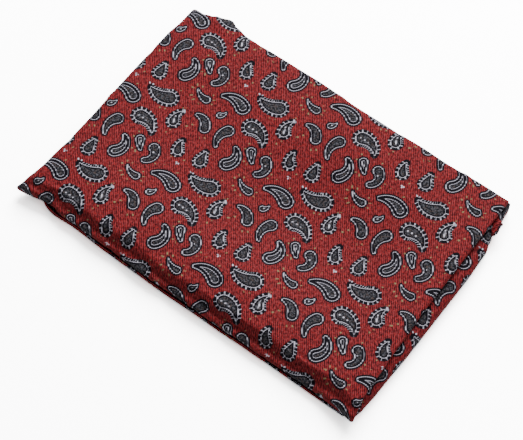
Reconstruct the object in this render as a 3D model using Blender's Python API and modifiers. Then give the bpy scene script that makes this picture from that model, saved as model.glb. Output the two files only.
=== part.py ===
# A silk pocket square, folded in half and then in thirds, lying on a table.
# Lengths are in metres. +X is the right-hand end, -Y the front edge and +Z up, and the origin is
# at the middle of the box that holds the folded cloth, on the table.

import bmesh
import bpy
import numpy as np

# The folded cloth
HEIGHT = 0.0100          # the table to the top layer, where its edges roll over
CLOTH_WALL = 0.0011      # the wall that stands for a stretch of cloth
SEAM_GAP = 0.0003        # clear space between two pieces

# Where the upper fold ends on each side, at places along that side
LEFT_EDGE = (
    dict(along=-0.0550, edge=-0.0808),
    dict(along=-0.0400, edge=-0.0807),
    dict(along=-0.0280, edge=-0.0802),
    dict(along=-0.0130, edge=-0.0802),
    dict(along=0.0020, edge=-0.0806),
    dict(along=0.0420, edge=-0.0808),
    dict(along=0.0520, edge=-0.0800),
)
BACK_EDGE = (
    # the corner at the left lies lower, and a puff stands out beside it
    dict(along=-0.0800, edge=0.0529),
    dict(along=-0.0765, edge=0.0541),
    dict(along=-0.0730, edge=0.0558),
    dict(along=-0.0670, edge=0.0576),
    dict(along=-0.0630, edge=0.0561),
    dict(along=-0.0560, edge=0.0549),
    dict(along=-0.0300, edge=0.0553),
    dict(along=-0.0150, edge=0.0556),
    dict(along=0.0050, edge=0.0550),
    dict(along=0.0210, edge=0.0551),
    dict(along=0.0400, edge=0.0557),
    dict(along=0.0500, edge=0.0555),
    dict(along=0.0700, edge=0.0562),
)
RIGHT_EDGE = (
    # a fold edge of its own, which flares towards the front
    dict(along=-0.0550, edge=0.0812),
    dict(along=-0.0400, edge=0.0808),
    dict(along=-0.0220, edge=0.0799),
    dict(along=0.0000, edge=0.0791),
    dict(along=0.0560, edge=0.0787),
)
FRONT_EDGE = (
    dict(along=-0.0800, edge=-0.0556),
    dict(along=-0.0730, edge=-0.0551),
    dict(along=-0.0650, edge=-0.0563),
    dict(along=-0.0560, edge=-0.0557),
    dict(along=-0.0400, edge=-0.0562),
    dict(along=-0.0120, edge=-0.0563),
    dict(along=0.0180, edge=-0.0557),
    dict(along=0.0320, edge=-0.0553),
    dict(along=0.0460, edge=-0.0549),
    dict(along=0.0800, edge=-0.0545),
)

# How each fold rolls over: half of its height, and how far it stands out from where it leaves the flat
UPPER_FOLD_HALF = 0.00303
LOWER_FOLD_HALF = 0.00185
EDGE_FOLD_HALF = 0.00130
SIDE_ROLL = 0.0045
FRONT_ROLL = 0.0022
EDGE_ROLL = 0.0016
FOLD_TURN = np.radians(165)
CORNER_SQUARENESS = 6

# The two pointed corners of the upper fold
EAR_REACH = 0.015        # how much of the cloth each ear draws out
EAR_LEFT = (-0.0035, -0.0020, -0.0014)
EAR_RIGHT = (0.0020, -0.0013, -0.0010)

# The trough behind the front fold, where the top layer sags past the ends of the layers inside
TROUGH_FROM_FRONT = 0.0037
TROUGH_WIDTH = 0.0018
TROUGH_DIPS = (
    # middle along X, half length, depth, further back than the rest
    dict(middle=-0.0690, half=0.0070, depth=0.0013, back=0.0012),
    dict(middle=-0.0530, half=0.0100, depth=0.0022, back=0.0006),
    dict(middle=-0.0340, half=0.0090, depth=0.0018, back=0.0000),
    dict(middle=-0.0140, half=0.0110, depth=0.0024, back=0.0004),
    dict(middle=0.0090, half=0.0100, depth=0.0019, back=0.0000),
    dict(middle=0.0300, half=0.0110, depth=0.0023, back=0.0006),
    dict(middle=0.0510, half=0.0090, depth=0.0021, back=0.0002),
    dict(middle=0.0660, half=0.0070, depth=0.0015, back=0.0014),
)

# The hollows of the top layer, which lies lower in the middle than at its folded edges
HOLLOWS = (
    dict(x=0.0180, y=0.0000, half_x=0.0640, half_y=0.0400, depth=0.0040),
    dict(x=-0.0480, y=0.0020, half_x=0.0260, half_y=0.0360, depth=0.0014),
)

# The lower fold, which stands out past the upper one along the front
LOWER_LEFT = -0.0797
LOWER_BACK = 0.0542
LOWER_RIGHT = 0.0780
LOWER_PROUD = 0.0009
LOWER_SIDE_ROLL = 0.0030
LOWER_LEFT_CORNER = 0.011   # how far its front end is rounded away below the left ear
LOWER_CORNER_IN = 0.0050
LOWER_CORNER_POWER = 1.5
LOWER_END_STEP = 0.0005     # between the last columns at its square end

# The second fold at the right end, as sections from the front to the back
RIGHT_SECTIONS = (
    # along Y, furthest X, top
    dict(place=-0.0525, reach=0.0820, top=0.0052),
    dict(place=-0.0490, reach=0.0828, top=0.0062),
    dict(place=-0.0400, reach=0.0833, top=0.0069),
    dict(place=-0.0180, reach=0.0838, top=0.0071),
    dict(place=0.0190, reach=0.0838, top=0.0071),
    dict(place=0.0330, reach=0.0832, top=0.0070),
    dict(place=0.0385, reach=0.0820, top=0.0062),
    dict(place=0.0420, reach=0.0808, top=0.0052),
    dict(place=0.0480, reach=0.0801, top=0.0045),
    dict(place=0.0552, reach=0.0796, top=0.0042),
)
RIGHT_INNER = 0.0786     # where its two plies end inside
RIGHT_PLY = 0.0006       # how far each ply runs straight before it rolls over
RIGHT_ROUNDNESS = 0.8    # below 1, the fold's section is squarer than an oval

# The rolled corner of the hem that sticks out beside it
HEM_SECTIONS = (
    # along Y, how far it stands out, middle height, half height
    dict(place=0.0416, out=0.0008, middle=0.0034, half=0.0009),
    dict(place=0.0426, out=0.0015, middle=0.0038, half=0.0013),
    dict(place=0.0436, out=0.0019, middle=0.0043, half=0.0017),
    dict(place=0.0448, out=0.0023, middle=0.0047, half=0.0019),
    dict(place=0.0462, out=0.0018, middle=0.0049, half=0.0017),
    dict(place=0.0476, out=0.0018, middle=0.0047, half=0.0014),
    dict(place=0.0488, out=0.0008, middle=0.0043, half=0.0009),
)

# The hidden layers
INNER_LEFT = -0.0762
INNER_RIGHT = 0.0769
INNER_FRONT = -0.0460
INNER_BACK = 0.0488
INNER_CORNER = 0.004
INNER_LAYERS = 4
INNER_TOP = HEIGHT - HOLLOWS[0]["depth"] - CLOTH_WALL - SEAM_GAP   # just under the deepest hollow
LAYER_BULGE = 0.0008

RED_TWILL = (0.445, 0.025, 0.023, 1.0)
DARK_TWILL = (0.215, 0.014, 0.016, 1.0)
TWILL_ROUGHNESS = 0.48


def clear_scene():
    for obj in list(bpy.data.objects):
        bpy.data.objects.remove(obj, do_unlink=True)


def cloth_material(name, colour):
    material = bpy.data.materials.new(name)
    material.use_nodes = True
    shader = material.node_tree.nodes["Principled BSDF"]
    shader.inputs["Base Color"].default_value = colour
    shader.inputs["Roughness"].default_value = TWILL_ROUGHNESS
    shader.inputs["Metallic"].default_value = 0.0
    return material


def eased(at, places, values):
    """Values between the rows of a table, with an even slope at each row."""
    places, values = np.asarray(places), np.asarray(values)
    row = np.clip(np.searchsorted(places, at) - 1, 0, len(places) - 2)
    part = np.clip((at - places[row]) / (places[row + 1] - places[row]), 0, 1)
    part = part * part * (3 - 2 * part)
    return values[row] + (values[row + 1] - values[row]) * part


def column(table, name):
    return [row[name] for row in table]


def edge_line(table, along):
    return eased(along, column(table, "along"), column(table, "edge"))


def hump(distance, half_width):
    return np.exp(-((distance / half_width) ** 2))


def stations(share, count, roll_steps):
    """Splits a grid's steps into those on the flat, 0 to 1, and those round each roll, -1 to 0 or 0 to 1."""
    step = np.round(share * (count - 1))
    flat = np.clip((step - roll_steps) / (count - 1 - 2 * roll_steps), 0, 1)
    roll = np.minimum(step - roll_steps, 0) + np.maximum(step - (count - 1 - roll_steps), 0)
    return flat, roll / roll_steps


def rolled_edge(roll_x, roll_y, out_x, out_y, half_x, half_y):
    """How far a sheet stands out and drops where it rolls over its edges, rounded off at the corners."""
    reach = np.maximum(abs(roll_x), abs(roll_y))
    length = (abs(roll_x) ** CORNER_SQUARENESS + abs(roll_y) ** CORNER_SQUARENESS) ** (1 / CORNER_SQUARENESS)
    length = np.maximum(length, 1e-9)
    share_x = roll_x**2 / np.maximum(roll_x**2 + roll_y**2, 1e-9)
    half = half_x * share_x + half_y * (1 - share_x)
    turn = reach * FOLD_TURN
    step_x = out_x * np.sin(turn) * roll_x / length
    step_y = out_y * np.sin(turn) * roll_y / length
    return step_x, step_y, half * (1 - np.cos(turn))


def sheet(name, columns, rows, place_points, material, collection, wall_inside=True):
    """A grid whose points a function places, made into a wall of cloth."""
    mesh = bpy.data.meshes.new(name)
    grid = bmesh.new()
    bmesh.ops.create_grid(grid, x_segments=columns - 1, y_segments=rows - 1, size=1)
    shares = np.array([vertex.co[:2] for vertex in grid.verts]) / 2 + 0.5
    points = np.stack(place_points(shares[:, 0], shares[:, 1]), axis=1)
    for vertex, point in zip(grid.verts, points):
        vertex.co = point
    grid.to_mesh(mesh)
    grid.free()
    mesh.materials.append(material)
    mesh.shade_smooth()
    obj = bpy.data.objects.new(name, mesh)
    collection.objects.link(obj)
    wall = obj.modifiers.new("cloth wall", "SOLIDIFY")
    wall.thickness = CLOTH_WALL
    wall.offset = -1 if wall_inside else 1
    wall.use_even_offset = True
    wall.thickness_clamp = 0
    return obj


def trough_depth(x, y, front):
    """How far the top layer sags at each point behind the front fold."""
    sag = np.zeros_like(x)
    for dip in TROUGH_DIPS:
        line = front + TROUGH_FROM_FRONT + dip["back"]
        sag = sag + dip["depth"] * hump(x - dip["middle"], dip["half"]) * hump(y - line, TROUGH_WIDTH)
    return sag


def bell(share):
    """1 in the middle, and level where it ends at a share of -1 and 1."""
    return np.clip(1 - share**2, 0, 1) ** 2


def hollow_depth(x, y):
    """How far the top layer lies below its edges at each point."""
    sag = np.zeros_like(x)
    for row in HOLLOWS:
        sag = sag + row["depth"] * bell((x - row["x"]) / row["half_x"]) * bell((y - row["y"]) / row["half_y"])
    return sag


def ear_pull(x, y, corner_x, corner_y, pull):
    """The corner's pull at each point: full at the tip, none beyond the ear's reach."""
    distance = np.hypot(x - corner_x, y - corner_y)
    weight = np.clip(1 - distance / EAR_REACH, 0, 1) ** 2
    return [weight * amount for amount in pull]


def across(low, high, share):
    return low + (high - low) * share


TOP_COLUMNS, TOP_ROWS, TOP_ROLL_STEPS = 53, 31, 5
TOP_ROWS_FLAT = (
    # close together at the trough, then even
    0, 0.012, 0.024, 0.036, 0.05, 0.07, 0.10, 0.15, 0.22, 0.29, 0.36,
    0.43, 0.50, 0.57, 0.64, 0.71, 0.78, 0.85, 0.92, 0.97, 1,
)


def top_points(share_x, share_y):
    flat_x, roll_x = stations(share_x, TOP_COLUMNS, TOP_ROLL_STEPS)
    flat_y, roll_y = stations(share_y, TOP_ROWS, TOP_ROLL_STEPS)
    flat_y = np.interp(flat_y, np.linspace(0, 1, len(TOP_ROWS_FLAT)), TOP_ROWS_FLAT)
    out_y = np.where(roll_y < 0, FRONT_ROLL, SIDE_ROLL)
    out_x = np.where(roll_x > 0, EDGE_ROLL, SIDE_ROLL)
    half_x = np.where(roll_x > 0, EDGE_FOLD_HALF, UPPER_FOLD_HALF)
    plain_x = across(LEFT_EDGE[0]["edge"], RIGHT_EDGE[0]["edge"], flat_x)
    plain_y = across(FRONT_EDGE[0]["edge"], BACK_EDGE[-1]["edge"], flat_y)
    front = edge_line(FRONT_EDGE, plain_x)
    x = across(edge_line(LEFT_EDGE, plain_y) + SIDE_ROLL, edge_line(RIGHT_EDGE, plain_y) - EDGE_ROLL, flat_x)
    y = across(front + FRONT_ROLL, edge_line(BACK_EDGE, plain_x) - SIDE_ROLL, flat_y)
    z = HEIGHT - trough_depth(x, y, front) - hollow_depth(x, y)
    step_x, step_y, drop = rolled_edge(roll_x, roll_y, out_x, out_y, half_x, UPPER_FOLD_HALF)
    x, y, z = x + step_x, y + step_y, z - drop
    for corner_x, pull in ((LEFT_EDGE[0]["edge"], EAR_LEFT), (RIGHT_EDGE[0]["edge"], EAR_RIGHT)):
        pull_x, pull_y, pull_z = ear_pull(x, y, corner_x, front, pull)
        x, y, z = x + pull_x, y + pull_y, z + pull_z
    return x, y, z


BOTTOM_COLUMNS, BOTTOM_ROWS, BOTTOM_ROLL_STEPS = 37, 19, 4


def bottom_points(share_x, share_y):
    flat_x, roll_x = stations(share_x, BOTTOM_COLUMNS, BOTTOM_ROLL_STEPS)
    flat_y, roll_y = stations(share_y, BOTTOM_ROWS, BOTTOM_ROLL_STEPS)
    # The right end is cut off square beside the second fold, so nothing rolls over there.
    end = LOWER_RIGHT - LOWER_END_STEP * np.maximum(1 - roll_x, 0)
    roll_x = np.minimum(roll_x, 0)
    x = across(LOWER_LEFT + LOWER_SIDE_ROLL, end, flat_x)
    front = edge_line(FRONT_EDGE, x) - LOWER_PROUD
    corner = np.clip((LOWER_LEFT + LOWER_LEFT_CORNER - x) / LOWER_LEFT_CORNER, 0, 1)
    front = front + LOWER_CORNER_IN * corner**LOWER_CORNER_POWER
    y = across(front + FRONT_ROLL, LOWER_BACK - LOWER_SIDE_ROLL, flat_y)
    out_y = np.where(roll_y < 0, FRONT_ROLL, LOWER_SIDE_ROLL)
    step_x, step_y, drop = rolled_edge(
        roll_x, roll_y, LOWER_SIDE_ROLL, out_y, LOWER_FOLD_HALF, LOWER_FOLD_HALF
    )
    return x + step_x, y + step_y, drop


RIGHT_STEPS, RIGHT_ROUND_STEPS = 41, 13


def right_fold_reach(y):
    return eased(y, column(RIGHT_SECTIONS, "place"), column(RIGHT_SECTIONS, "reach"))


def right_fold_points(share_round, share_y):
    """Sections that run in along the top, round the fold and in again along the table."""
    first, last = RIGHT_SECTIONS[0]["place"], RIGHT_SECTIONS[-1]["place"]
    y = first + (last - first) * share_y
    reach = right_fold_reach(y)
    half = eased(y, column(RIGHT_SECTIONS, "place"), column(RIGHT_SECTIONS, "top")) / 2
    turn = (0.5 - share_round) * np.pi
    ends = (share_round == 0) | (share_round == 1)
    start = RIGHT_INNER + RIGHT_PLY
    x = np.where(ends, RIGHT_INNER, start + (reach - start) * np.abs(np.cos(turn)) ** RIGHT_ROUNDNESS)
    return x, y, half + half * np.sign(np.sin(turn)) * np.abs(np.sin(turn)) ** RIGHT_ROUNDNESS


HEM_ROUND_STEPS = 14


def hem_corner(material, collection):
    """A ruffled lobe: closed oval sections beside the second fold, joined one to the next."""
    lobe = bmesh.new()
    rings = []
    for row in HEM_SECTIONS:
        inner = float(right_fold_reach(row["place"])) + SEAM_GAP
        ring = []
        for step in range(HEM_ROUND_STEPS):
            turn = 2 * np.pi * step / HEM_ROUND_STEPS
            x = inner + row["out"] * (0.5 + 0.5 * np.cos(turn))
            ring.append(lobe.verts.new((x, row["place"], row["middle"] + row["half"] * np.sin(turn))))
        rings.append(ring)
    for ring, next_ring in zip(rings, rings[1:]):
        for step in range(HEM_ROUND_STEPS):
            after = (step + 1) % HEM_ROUND_STEPS
            lobe.faces.new((ring[step], next_ring[step], next_ring[after], ring[after]))
    lobe.faces.new(rings[0])
    lobe.faces.new(rings[-1][::-1])
    return closed_piece("hem_corner", lobe, material, collection)


INNER_CORNER_STEPS = 5
LAYER_STEPS = 4


def inner_layers(material, collection):
    """One solid for the hidden layers: a rounded outline, with a bulge down its side for each layer."""
    low, high = CLOTH_WALL + SEAM_GAP, INNER_TOP
    stack = bmesh.new()
    rings = []
    for level in range(INNER_LAYERS * LAYER_STEPS + 1):
        share = level / (INNER_LAYERS * LAYER_STEPS)
        inset = LAYER_BULGE * (1 - abs(np.sin(np.pi * share * INNER_LAYERS)))
        rings.append(rounded_ring(stack, inset, low + (high - low) * share))
    for ring, next_ring in zip(rings, rings[1:]):
        for step in range(len(ring)):
            after = (step + 1) % len(ring)
            stack.faces.new((ring[step], ring[after], next_ring[after], next_ring[step]))
    stack.faces.new(rings[0][::-1])
    stack.faces.new(rings[-1])
    return closed_piece("inner_layers", stack, material, collection)


def rounded_ring(stack, inset, z):
    """A ring of points round the hidden layers, anticlockwise from the back right corner."""
    radius = INNER_CORNER - inset
    ring = []
    for quarter, (middle_x, middle_y) in enumerate((
        (INNER_RIGHT - INNER_CORNER, INNER_BACK - INNER_CORNER),
        (INNER_LEFT + INNER_CORNER, INNER_BACK - INNER_CORNER),
        (INNER_LEFT + INNER_CORNER, INNER_FRONT + INNER_CORNER),
        (INNER_RIGHT - INNER_CORNER, INNER_FRONT + INNER_CORNER),
    )):
        for step in range(INNER_CORNER_STEPS):
            turn = np.pi / 2 * (quarter + step / (INNER_CORNER_STEPS - 1))
            point = (middle_x + radius * np.cos(turn), middle_y + radius * np.sin(turn), z)
            ring.append(stack.verts.new(point))
    return ring


def closed_piece(name, shape, material, collection):
    bmesh.ops.recalc_face_normals(shape, faces=shape.faces)
    mesh = bpy.data.meshes.new(name)
    shape.to_mesh(mesh)
    shape.free()
    mesh.materials.append(material)
    mesh.shade_smooth()
    obj = bpy.data.objects.new(name, mesh)
    collection.objects.link(obj)
    return obj


def main():
    clear_scene()
    collection = bpy.data.collections.new("pocket_square")
    bpy.context.scene.collection.children.link(collection)
    red = cloth_material("printed_twill", RED_TWILL)
    dark = cloth_material("twill_inside", DARK_TWILL)
    sheet("top_panel", TOP_COLUMNS, TOP_ROWS, top_points, red, collection)
    sheet("bottom_panel", BOTTOM_COLUMNS, BOTTOM_ROWS, bottom_points, red, collection, wall_inside=False)
    sheet("right_fold", RIGHT_ROUND_STEPS, RIGHT_STEPS, right_fold_points, red, collection)
    hem_corner(red, collection)
    inner_layers(dark, collection)


main()
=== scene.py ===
from functools import partial

import bmesh
import bpy
import numpy as np
from mathutils import Matrix, Vector


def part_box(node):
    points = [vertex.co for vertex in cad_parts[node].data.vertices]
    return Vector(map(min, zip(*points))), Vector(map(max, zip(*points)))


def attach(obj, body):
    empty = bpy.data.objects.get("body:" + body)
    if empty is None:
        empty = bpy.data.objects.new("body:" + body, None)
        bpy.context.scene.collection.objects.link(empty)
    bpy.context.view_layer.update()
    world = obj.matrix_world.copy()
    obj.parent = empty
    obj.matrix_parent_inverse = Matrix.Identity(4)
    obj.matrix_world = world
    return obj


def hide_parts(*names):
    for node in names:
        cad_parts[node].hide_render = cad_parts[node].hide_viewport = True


# A folded silk pocket square with a small paisley print. Lengths are in metres.
# +X is the right-hand end, -Y the front edge and +Z up, as in the frame.

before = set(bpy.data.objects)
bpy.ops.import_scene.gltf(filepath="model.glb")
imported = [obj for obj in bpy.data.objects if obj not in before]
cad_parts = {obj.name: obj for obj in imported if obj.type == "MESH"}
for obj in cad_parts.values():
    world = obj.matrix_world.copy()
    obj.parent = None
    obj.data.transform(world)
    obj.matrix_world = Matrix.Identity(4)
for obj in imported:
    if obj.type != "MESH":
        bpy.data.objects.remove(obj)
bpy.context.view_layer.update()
print("frame loaded")


# The cloth

cloth = {
    "shell": 0.0004,                     # thickness of the silk
    "foldTurn": np.radians(132),         # how far round each fold rolls
    "foldSoftness": 0.60,                # under 1, a fold's section is squarer than an oval
    "cornerSquareness": 6,
    "chords": 48,                        # short steps round a fold, for the cloth's length
    "height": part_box("top_panel")[1].z,  # the table to the top layer, where its edges roll over
    "printRepeat": 0.0455,               # one repeat of the print up the cloth
    "printStart": (-0.02170, 0.01853),   # where a repeat starts on the top layer
    "printStretch": 0.0047,              # the print runs a little wide of true,
    "printSkew": -0.0060,                # and a little askew
}


def softSteps(at, rows, column=1):
    # a row's first number is its place, and the value in the column goes from row to row by 3s^2 - 2s^3
    # of the share s, so it is level at each row
    places, values = np.array(rows)[:, [0, column]].T
    row = np.clip(np.searchsorted(places, at) - 1, 0, len(places) - 2)
    share = np.clip((at - places[row]) / (places[row + 1] - places[row]), 0, 1)
    return values[row] + (values[row + 1] - values[row]) * share**2 * (3 - 2 * share)


def hump(distance, half):
    # a bell of height 1, exp(-(distance / half)^2)
    return np.exp(-((distance / half) ** 2))


def bell(share):
    # (1 - s^2)^2, which is level where it ends at s = -1 and 1
    return np.clip(1 - share**2, 0, 1) ** 2


def foldStations(flatCount, rollCount, closeness=1.0):
    # the flat shares 0 to 1, with a roll of -1 to 0 before them and of 0 to 1 after them;
    # a closeness over 1 draws the flat ones towards 0 by share^closeness
    flat = np.linspace(0, 1, flatCount) ** closeness
    flat = np.concatenate([np.zeros(rollCount), flat, np.ones(rollCount)])
    rolling = np.linspace(0, 1, rollCount + 1)
    roll = np.concatenate([-rolling[:0:-1], np.zeros(flatCount), rolling[1:]])
    return flat, roll


def foldOver(rollX, rollY, outX, outY, halfX, halfY):
    # the sheet turns by its larger roll times the fold's angle: it stands out by out * sin(turn)^softness
    # and drops by half * (1 - cos(turn)), shared between the two sides at a corner
    power = cloth["cornerSquareness"]
    turn = np.maximum(abs(rollX), abs(rollY)) * cloth["foldTurn"]
    length = np.maximum((abs(rollX) ** power + abs(rollY) ** power) ** (1 / power), 1e-9)
    shareX = rollX**2 / np.maximum(rollX**2 + rollY**2, 1e-9)
    half = halfX * shareX + halfY * (1 - shareX)
    outward = np.sin(turn) ** cloth["foldSoftness"] / length
    return outX * outward * rollX, outY * outward * rollY, half * (1 - np.cos(turn))


def creaseField(x, y, rows):
    # each crease is a bell across its line, height * exp(-(offset / half)^2), which fades as
    # (1 - s^2)^2 towards its two ends, s being -1 to 1 along it; bow bends the line sideways
    field = np.zeros_like(x)
    for start, end, half, height, bow in rows:
        start, end = np.array(start), np.array(end)
        along, middle = (end - start) / 2, (end + start) / 2
        long = np.hypot(*along)
        s = ((x - middle[0]) * along[0] + (y - middle[1]) * along[1]) / long**2
        offset = ((y - middle[1]) * along[0] - (x - middle[0]) * along[1]) / long
        offset = offset - bow * (1 - s**2)
        field = field + height * hump(offset, half) * bell(s)
    return field


def swellField(x, y, rows):
    # each swell or hollow is height * bell * bell of the shares of its half lengths
    field = np.zeros_like(x)
    for (middleX, middleY), (halfX, halfY), height in rows:
        field = field + height * bell((x - middleX) / halfX) * bell((y - middleY) / halfY)
    return field


def pushOut(x, y, z, depth):
    # moves each point along the surface's normal, the cross product of the grid's two directions
    points = np.stack([x, y, z], axis=-1)
    normal = np.cross(np.gradient(points, axis=1), np.gradient(points, axis=0))
    normal = normal / np.maximum(np.linalg.norm(normal, axis=-1, keepdims=True), 1e-12)
    points = points + depth[..., None] * normal
    return points[..., 0], points[..., 1], points[..., 2]


def printPoint(x, y):
    # the place on the flat cloth, in repeats of the print, from its stretch and its skew
    startX, startY = cloth["printStart"]
    u = (x * (1 + cloth["printStretch"]) - startX) / cloth["printRepeat"]
    return u, (y + x * cloth["printSkew"] - startY) / cloth["printRepeat"]


def addSurface(name, points, flat, material, shift=(0, 0), closedRound=False, turned=False):
    # a grid of points made into quads. The places on the flat cloth, in repeats and shifted, are the piece's
    # own UV map. A closed round joins its last column to its first, and the points that meet at its two
    # ends become one; a turned piece has its faces the other way round.
    rows, columns = points[0].shape
    points = np.stack(points, axis=-1).reshape(-1, 3)
    index = np.arange(rows * columns).reshape(rows, columns)
    after = np.roll(index, -1, axis=1) if closedRound else index[:, 1:]
    first = index if closedRound else index[:, :-1]
    faces = np.stack([first[:-1], after[:-1], after[1:], first[1:]], axis=-1).reshape(-1, 4)
    mesh = bpy.data.meshes.new(name)
    mesh.from_pydata(points.tolist(), [], (faces[:, ::-1] if turned else faces).tolist())
    layer = mesh.uv_layers.new(name="clothPoint")
    corners = np.empty(len(mesh.loops), dtype=np.int32)
    mesh.loops.foreach_get("vertex_index", corners)
    places = np.stack(printPoint(*flat), axis=-1).reshape(-1, 2) + shift
    layer.data.foreach_set("uv", places[corners].ravel())
    mesh.materials.append(material)
    if closedRound:
        closePoles(mesh)
    mesh.shade_smooth()
    piece = bpy.data.objects.new(name, mesh)
    bpy.context.scene.collection.objects.link(piece)
    return piece


def closePoles(mesh):
    # the points that lie on each other at the two ends become one
    shape = bmesh.new()
    shape.from_mesh(mesh)
    bmesh.ops.remove_doubles(shape, verts=shape.verts, dist=1e-6)
    shape.to_mesh(mesh)
    shape.free()


def addShell(piece):
    # gives the surface a thin wall on its inner side
    shell = piece.modifiers.new("silk", "SOLIDIFY")
    shell.thickness = cloth["shell"]
    shell.offset = -1
    shell.use_even_offset = False
    return piece


# Shader nodes

def addNode(tree, kind, settings, values):
    # a value that is another node's socket becomes a link to it, and any other is set
    node = tree.nodes.new(kind)
    for key, value in settings.items():
        setattr(node, key, value)
    for socket, value in values.items():
        if isinstance(value, bpy.types.NodeSocket):
            tree.links.new(value, node.inputs[socket])
        else:
            node.inputs[socket].default_value = value
    return node


def sumNode(tree, operation, *values):
    # one step of arithmetic on the values in their order
    return addNode(tree, "ShaderNodeMath", {"operation": operation}, dict(enumerate(values))).outputs[0]


def vectorNode(tree, operation, *values):
    # the same for vectors
    node = addNode(tree, "ShaderNodeVectorMath", {"operation": operation}, dict(enumerate(values)))
    return node.outputs["Value" if operation in ("LENGTH", "DOT_PRODUCT") else "Vector"]


def partsOf(tree, vector):
    # a vector's X, Y and Z
    return addNode(tree, "ShaderNodeSeparateXYZ", {}, {0: vector}).outputs


def flatVector(tree, x, y):
    # the vector (x, y, 0)
    return addNode(tree, "ShaderNodeCombineXYZ", {}, {"X": x, "Y": y}).outputs[0]


def localPoint(tree, point, x, y, turn, scale):
    # the point less (x, y), turned back by turn and divided by the scale
    values = {"Vector": point, "Location": (x, y, 0), "Rotation": (0, 0, turn), "Scale": scale}
    return addNode(tree, "ShaderNodeMapping", {"vector_type": "TEXTURE"}, values).outputs[0]


def noiseNode(tree, point, scale, detail, roughness=0.5):
    # a noise of 0 to 1 that changes about scale times in one repeat of the print
    values = {"Vector": point, "Scale": scale, "Detail": detail, "Roughness": roughness}
    return addNode(tree, "ShaderNodeTexNoise", {}, values).outputs["Fac"]


def softBelow(tree, value, soft, level=0.0):
    # 1 where the value is below level - soft, 0 above level + soft, and 1 - 3s^2 + 2s^3 between
    values = {"Value": value, "From Min": level - soft, "From Max": level + soft, "To Min": 1, "To Max": 0}
    settings = {"interpolation_type": "SMOOTHSTEP"}
    return addNode(tree, "ShaderNodeMapRange", settings, values).outputs["Result"]


def mixColour(tree, share, first, second):
    # first + (second - first) * share
    return addNode(tree, "ShaderNodeMix", {"data_type": "RGBA"}, {0: share, 6: first, 7: second}).outputs[2]


def newGroup(name, inputs, outputs):
    # an empty group whose sockets are given by label and kind
    group = bpy.data.node_groups.new(name, "ShaderNodeTree")
    for sockets, side in ((inputs, "INPUT"), (outputs, "OUTPUT")):
        for label, kind in sockets.items():
            group.interface.new_socket(label, in_out=side, socket_type="NodeSocket" + kind)
    return group, group.nodes.new("NodeGroupInput").outputs, group.nodes.new("NodeGroupOutput").inputs


def closeGroup(group, put, values):
    # leads each value out of the group by its label
    for label, value in values.items():
        group.links.new(value, put[label])
    return group


def useGroup(tree, group, values):
    # places the group in a tree and gives its outputs
    return addNode(tree, "ShaderNodeGroup", {"node_tree": group}, values).outputs


# The print: bent drops on a half-drop repeat, placed from a chart with X across and Y down

printWidth = 0.8695     # the repeat across, in repeats up the cloth, with a half drop at each step


def makeHalfDrop():
    # moves a point by whole steps of the repeat to the copy that lies nearest to the given middle
    group, given, put = newGroup("halfDrop", {"Point": "Vector", "Middle": "Vector"}, {"Point": "Vector"})
    calc = partial(sumNode, group)
    point, middle = partsOf(group, given["Point"]), partsOf(group, given["Middle"])
    across = calc("SUBTRACT", point["X"], middle["X"])
    step = calc("ROUND", calc("DIVIDE", across, printWidth))
    x = calc("MULTIPLY_ADD", step, -printWidth, point["X"])
    y = calc("MULTIPLY_ADD", step, 0.5, point["Y"])
    up = calc("ROUND", calc("SUBTRACT", y, middle["Y"]))
    return closeGroup(group, put, {"Point": flatVector(group, x, calc("SUBTRACT", y, up))})


def makeBentDrop():
    # a drop on an arc that starts on the local x axis: its half width goes from Head to Tail by
    # share^Taper, Distance is from its outline, and Edge runs along the outline from head to tail
    inputs = {"Point": "Vector", "Radius": "Float", "Span": "Float", "Head": "Float", "Tail": "Float",
              "Taper": "Float"}
    group, given, put = newGroup("bentDrop", inputs, {"Distance": "Float", "Edge": "Float"})
    calc = partial(sumNode, group)
    point = partsOf(group, given["Point"])
    angle = calc("ARCTAN2", point["Y"], point["X"])
    share = calc("DIVIDE", angle, given["Span"])
    share.node.use_clamp = True
    turn = calc("MULTIPLY", share, given["Span"])
    spineX = calc("MULTIPLY", given["Radius"], calc("COSINE", turn))
    spineY = calc("MULTIPLY", given["Radius"], calc("SINE", turn))
    offset = vectorNode(group, "SUBTRACT", given["Point"], flatVector(group, spineX, spineY))
    narrowing = calc("POWER", share, given["Taper"])
    taken = calc("MULTIPLY", narrowing, calc("SUBTRACT", given["Head"], given["Tail"]))
    half = calc("SUBTRACT", given["Head"], taken)
    distance = calc("SUBTRACT", vectorNode(group, "LENGTH", offset), half)
    back = {"Vector": offset, "Angle": calc("MULTIPLY", turn, -1.0)}
    level = addNode(group, "ShaderNodeVectorRotate", {"rotation_type": "Z_AXIS"}, back)
    sides = partsOf(group, level.outputs[0])
    facing = calc("ARCTAN2", calc("ABSOLUTE", sides["X"]), sides["Y"])
    roundEnd = calc("MULTIPLY", half, calc("SUBTRACT", np.pi / 2, facing))
    edge = calc("MULTIPLY_ADD", turn, given["Radius"], roundEnd)
    return closeGroup(group, put, {"Distance": distance, "Edge": edge})


# in repeats of the print
motifInk = {
    "rimHalf": 0.0022,      # half the width of the pale line round each motif
    "ringHalf": 0.00176,    # and of the inner one
    "soft": 0.0026,         # how soft each printed edge is
    "haloReach": 0.0185,    # how far the dark edging reaches outside the motif
    "haloTooth": 0.45,      # how much of the teeth it covers as well
    "haloSoft": 0.00468,
    "fillIn": 0.018,        # how far in the grey starts, where a motif doesn't say
    "toothGap": 0.0305,     # from tooth to tooth
    "toothShare": 0.14,     # how much of each gap a tooth fills
    "toothSoft": 0.20,
    "noRing": 0.5,          # too far in to show
    "noTooth": -0.05,
    "fleckEdge": 0.9,       # in shares of a fleck's half sizes
    "fleckSoft": 0.4,
}


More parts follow.
